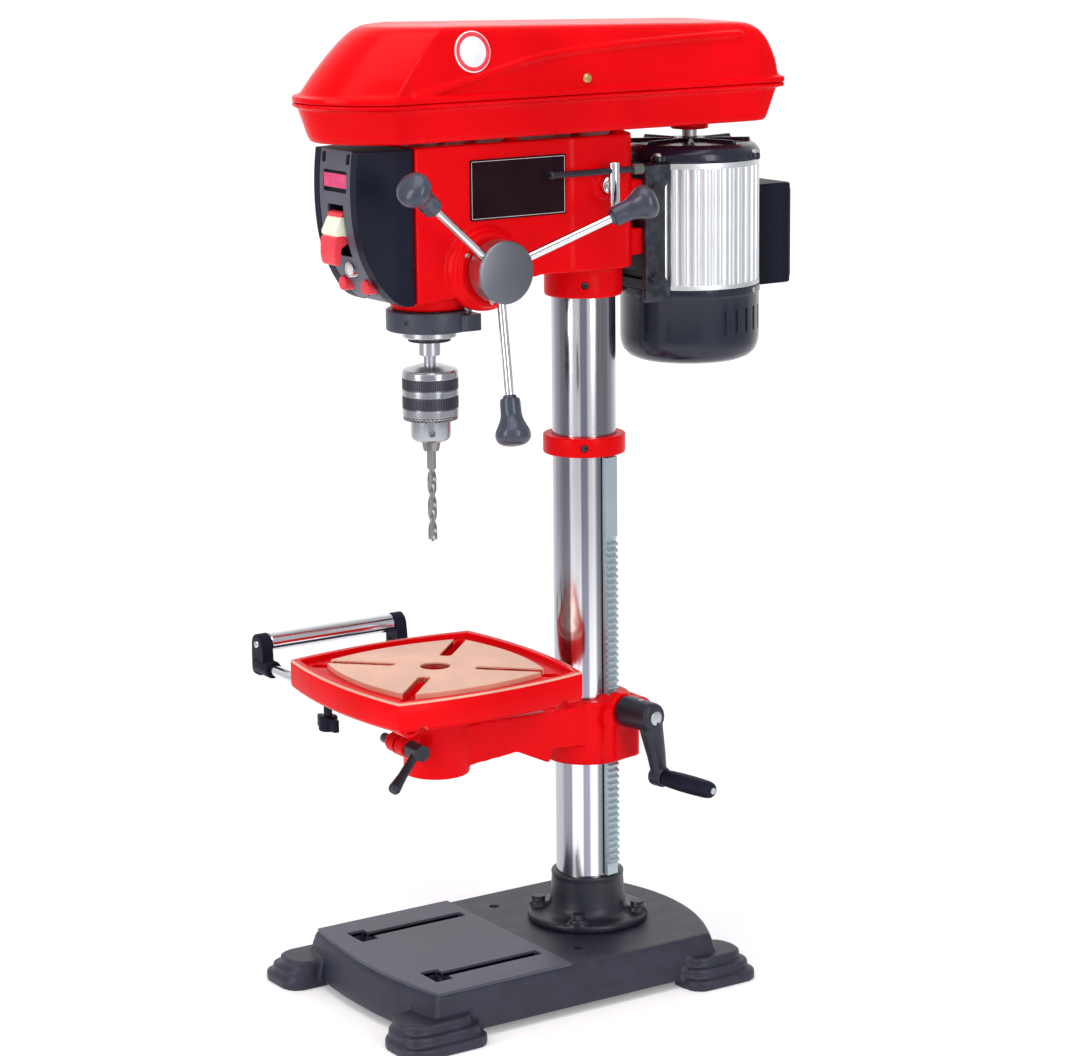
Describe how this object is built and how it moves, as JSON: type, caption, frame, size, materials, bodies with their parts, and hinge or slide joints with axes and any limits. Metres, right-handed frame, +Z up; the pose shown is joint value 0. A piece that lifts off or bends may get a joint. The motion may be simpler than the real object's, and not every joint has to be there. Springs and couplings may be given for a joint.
{
  "type": "drill press",
  "caption": "Bench drill press with cast base, round column and rack, crank-lifted square table with roller support, quill feed handle, chuck, belt drive and motor",
  "frame": {"origin": "on the bench plane under the middle of the machine's bounding box", "axes": "+Z up, -Y toward the operator, +X to the operator's right (crank and feed handle side)"},
  "size_m": [0.3576, 0.519, 0.906],
  "materials": {
    "red_enamel": "glossy red enamel",
    "dark_iron_paint": "satin dark grey paint on cast iron",
    "black_paint": "satin black paint",
    "black_plastic": "fine textured black plastic",
    "grey_plastic": "smooth dark grey plastic",
    "steel": "machined steel",
    "chrome": "polished steel",
    "alloy": "bright cast aluminium",
    "rubber": "black belt rubber",
    "signal_red_plastic": "bright red plastic",
    "pale_plastic": "white plastic"
  },
  "bodies": {
    "frame": {"base": "dark_iron_paint", "column_holder": "black_paint", "column_tube": "chrome", "rack_collar": "red_enamel", "head_casting": "red_enamel", "data_plate": "black_paint", "switch_box": "black_plastic", "display_window": "signal_red_plastic", "idler_post": "steel", "belt_pan": "red_enamel", "hood_hinge_pin": "steel", "front_belt": "rubber", "rear_belt": "rubber", "motor_bracket": "black_paint", "motor_shell": "alloy", "motor_end_can": "black_paint", "motor_end_bell": "black_paint", "capacitor_box": "black_plastic"},
    "rack": {"column_rack": "steel"},
    "bracket": {"table_bracket": "red_enamel"},
    "table_lock": {"table_lock_lever": "black_paint"},
    "column_lock": {"column_lock_lever": "black_paint"},
    "crank": {"crank": "black_paint"},
    "crank_grip": {"crank_grip": "black_plastic"},
    "table": {"table": "red_enamel"},
    "roller_carriage": {"roller_rod_front": "chrome", "roller_rod_rear": "chrome", "roller_end_front": "black_plastic", "roller_end_rear": "black_plastic"},
    "roller": {"roller": "chrome"},
    "roller_lock_front": {"roller_lock_front": "black_plastic"},
    "roller_lock_rear": {"roller_lock_rear": "black_plastic"},
    "paddle": {"switch_paddle": "signal_red_plastic"},
    "light_button": {"light_button": "pale_plastic"},
    "start_button": {"start_button": "signal_red_plastic"},
    "stop_button": {"stop_button": "signal_red_plastic"},
    "quill": {"quill": "steel", "depth_collar": "grey_plastic", "depth_rod": "steel"},
    "spindle": {"spindle": "steel", "chuck_body": "steel", "chuck_sleeve": "chrome", "chuck_jaws": "steel", "twist_drill": "steel"},
    "feed": {"feed_hub": "chrome", "feed_arm_1": "chrome", "feed_arm_2": "chrome", "feed_arm_3": "chrome", "feed_knob_1": "grey_plastic", "feed_knob_2": "grey_plastic", "feed_knob_3": "grey_plastic"},
    "tension_bolt": {"tension_bolt": "chrome"},
    "tension_bar": {"tension_bar": "steel"},
    "hood": {"belt_hood": "red_enamel"},
    "hood_latch": {"hood_latch_screw": "black_paint"},
    "spindle_pulley": {"spindle_pulley": "alloy"},
    "idler_pulley": {"idler_pulley": "alloy"},
    "motor_pulley": {"motor_pulley": "alloy"}
  },
  "joints": [
    {"name": "table_swing", "type": "hinge", "parent": "frame", "child": "rack", "pos_m": [0.027, 0.0345, 0.3], "axis": [0, 0, 1], "range_deg": [-90, 90]},
    {"name": "table_lift", "type": "slide", "parent": "rack", "child": "bracket", "axis": [0, 0, 1], "range_m": [-0.09, 0.1]},
    {"name": "table_lock_turn", "type": "hinge", "parent": "bracket", "child": "table_lock", "pos_m": [0.027, -0.1715, 0.25], "axis": [1, 0, 0], "range_deg": [-40, 40]},
    {"name": "column_lock_turn", "type": "hinge", "parent": "bracket", "child": "column_lock", "pos_m": [0.027, 0.0885, 0.246], "axis": [1, 0, 0], "range_deg": [-40, 40]},
    {"name": "crank_turn", "type": "hinge", "parent": "bracket", "child": "crank", "pos_m": [0.027, 0.0345, 0.26], "axis": [0.9848, 0.1736, 0], "continuous": true},
    {"name": "crank_grip_spin", "type": "hinge", "parent": "crank", "child": "crank_grip", "pos_m": [0.10961, 0.06125, 0.2], "axis": [0.9848, 0.1736, 0], "continuous": true},
    {"name": "table_swivel", "type": "hinge", "parent": "bracket", "child": "table", "pos_m": [0.027, -0.1335, 0.3], "axis": [0, 0, 1], "range_deg": [-14, 30]},
    {"name": "roller_slide", "type": "slide", "parent": "table", "child": "roller_carriage", "axis": [1, 0, 0], "range_m": [0, 0.068]},
    {"name": "roller_spin", "type": "hinge", "parent": "roller_carriage", "child": "roller", "pos_m": [-0.168, -0.1335, 0.312], "axis": [0, 1, 0], "continuous": true},
    {"name": "roller_lock_front_turn", "type": "hinge", "parent": "table", "child": "roller_lock_front", "pos_m": [-0.043, -0.2085, 0.26], "axis": [0, 0, 1], "range_deg": [-180, 180]},
    {"name": "roller_lock_rear_turn", "type": "hinge", "parent": "table", "child": "roller_lock_rear", "pos_m": [-0.043, -0.0585, 0.26], "axis": [0, 0, 1], "range_deg": [-180, 180]},
    {"name": "paddle_flip", "type": "hinge", "parent": "frame", "child": "paddle", "pos_m": [0.027, -0.2135, 0.738], "axis": [-1, 0, 0], "range_deg": [0, 30]},
    {"name": "light_press", "type": "slide", "parent": "frame", "child": "light_button", "axis": [0, 1, 0], "range_m": [0, 0.002], "stiffness_N_per_m": 300},
    {"name": "start_press", "type": "slide", "parent": "frame", "child": "start_button", "axis": [0, 1, 0], "range_m": [0, 0.003], "stiffness_N_per_m": 300},
    {"name": "stop_press", "type": "slide", "parent": "frame", "child": "stop_button", "axis": [0, 1, 0], "range_m": [0, 0.003], "stiffness_N_per_m": 300},
    {"name": "quill_feed", "type": "slide", "parent": "frame", "child": "quill", "axis": [0, 0, -1], "range_m": [0, 0.06]},
    {"name": "feed_turn", "type": "hinge", "parent": "frame", "child": "feed", "pos_m": [0.027, -0.1025, 0.69], "axis": [1, 0, 0], "range_deg": [0, 302]},
    {"name": "spindle_spin", "type": "hinge", "parent": "quill", "child": "spindle", "pos_m": [0.027, -0.1335, 0.6], "axis": [0, 0, 1], "continuous": true},
    {"name": "spindle_pulley_spin", "type": "hinge", "parent": "frame", "child": "spindle_pulley", "pos_m": [0.027, -0.1335, 0.84], "axis": [0, 0, 1], "continuous": true},
    {"name": "idler_spin", "type": "hinge", "parent": "frame", "child": "idler_pulley", "pos_m": [0.027, 0.0105, 0.84], "axis": [0, 0, 1], "continuous": true},
    {"name": "motor_spin", "type": "hinge", "parent": "frame", "child": "motor_pulley", "pos_m": [0.027, 0.1565, 0.84], "axis": [0, 0, 1], "continuous": true},
    {"name": "tension_turn", "type": "hinge", "parent": "frame", "child": "tension_bolt", "pos_m": [0.087, 0.0285, 0.757], "axis": [1, 0, 0], "range_deg": [-20, 30]},
    {"name": "tension_bar_slide", "type": "slide", "parent": "tension_bolt", "child": "tension_bar", "axis": [0, 1, 0], "range_m": [-0.015, 0.03]},
    {"name": "hood_open", "type": "hinge", "parent": "frame", "child": "hood", "pos_m": [-0.052, 0.0345, 0.841], "axis": [0, -1, 0], "range_deg": [0, 100]},
    {"name": "hood_latch_turn", "type": "hinge", "parent": "hood", "child": "hood_latch", "pos_m": [0.094, -0.0055, 0.855], "axis": [1, 0, 0], "range_deg": [0, 90]}
  ],
  "couplings": [
    {"joint": "crank_turn", "follows": "table_lift", "rad_per_m": 251.33},
    {"joint": "feed_turn", "follows": "quill_feed", "rad_per_m": 87.72},
    {"joint": "spindle_pulley_spin", "follows": "spindle_spin", "ratio": 1},
    {"joint": "idler_spin", "follows": "spindle_spin", "ratio": 0.774},
    {"joint": "motor_spin", "follows": "spindle_spin", "ratio": 0.8305}
  ]
}
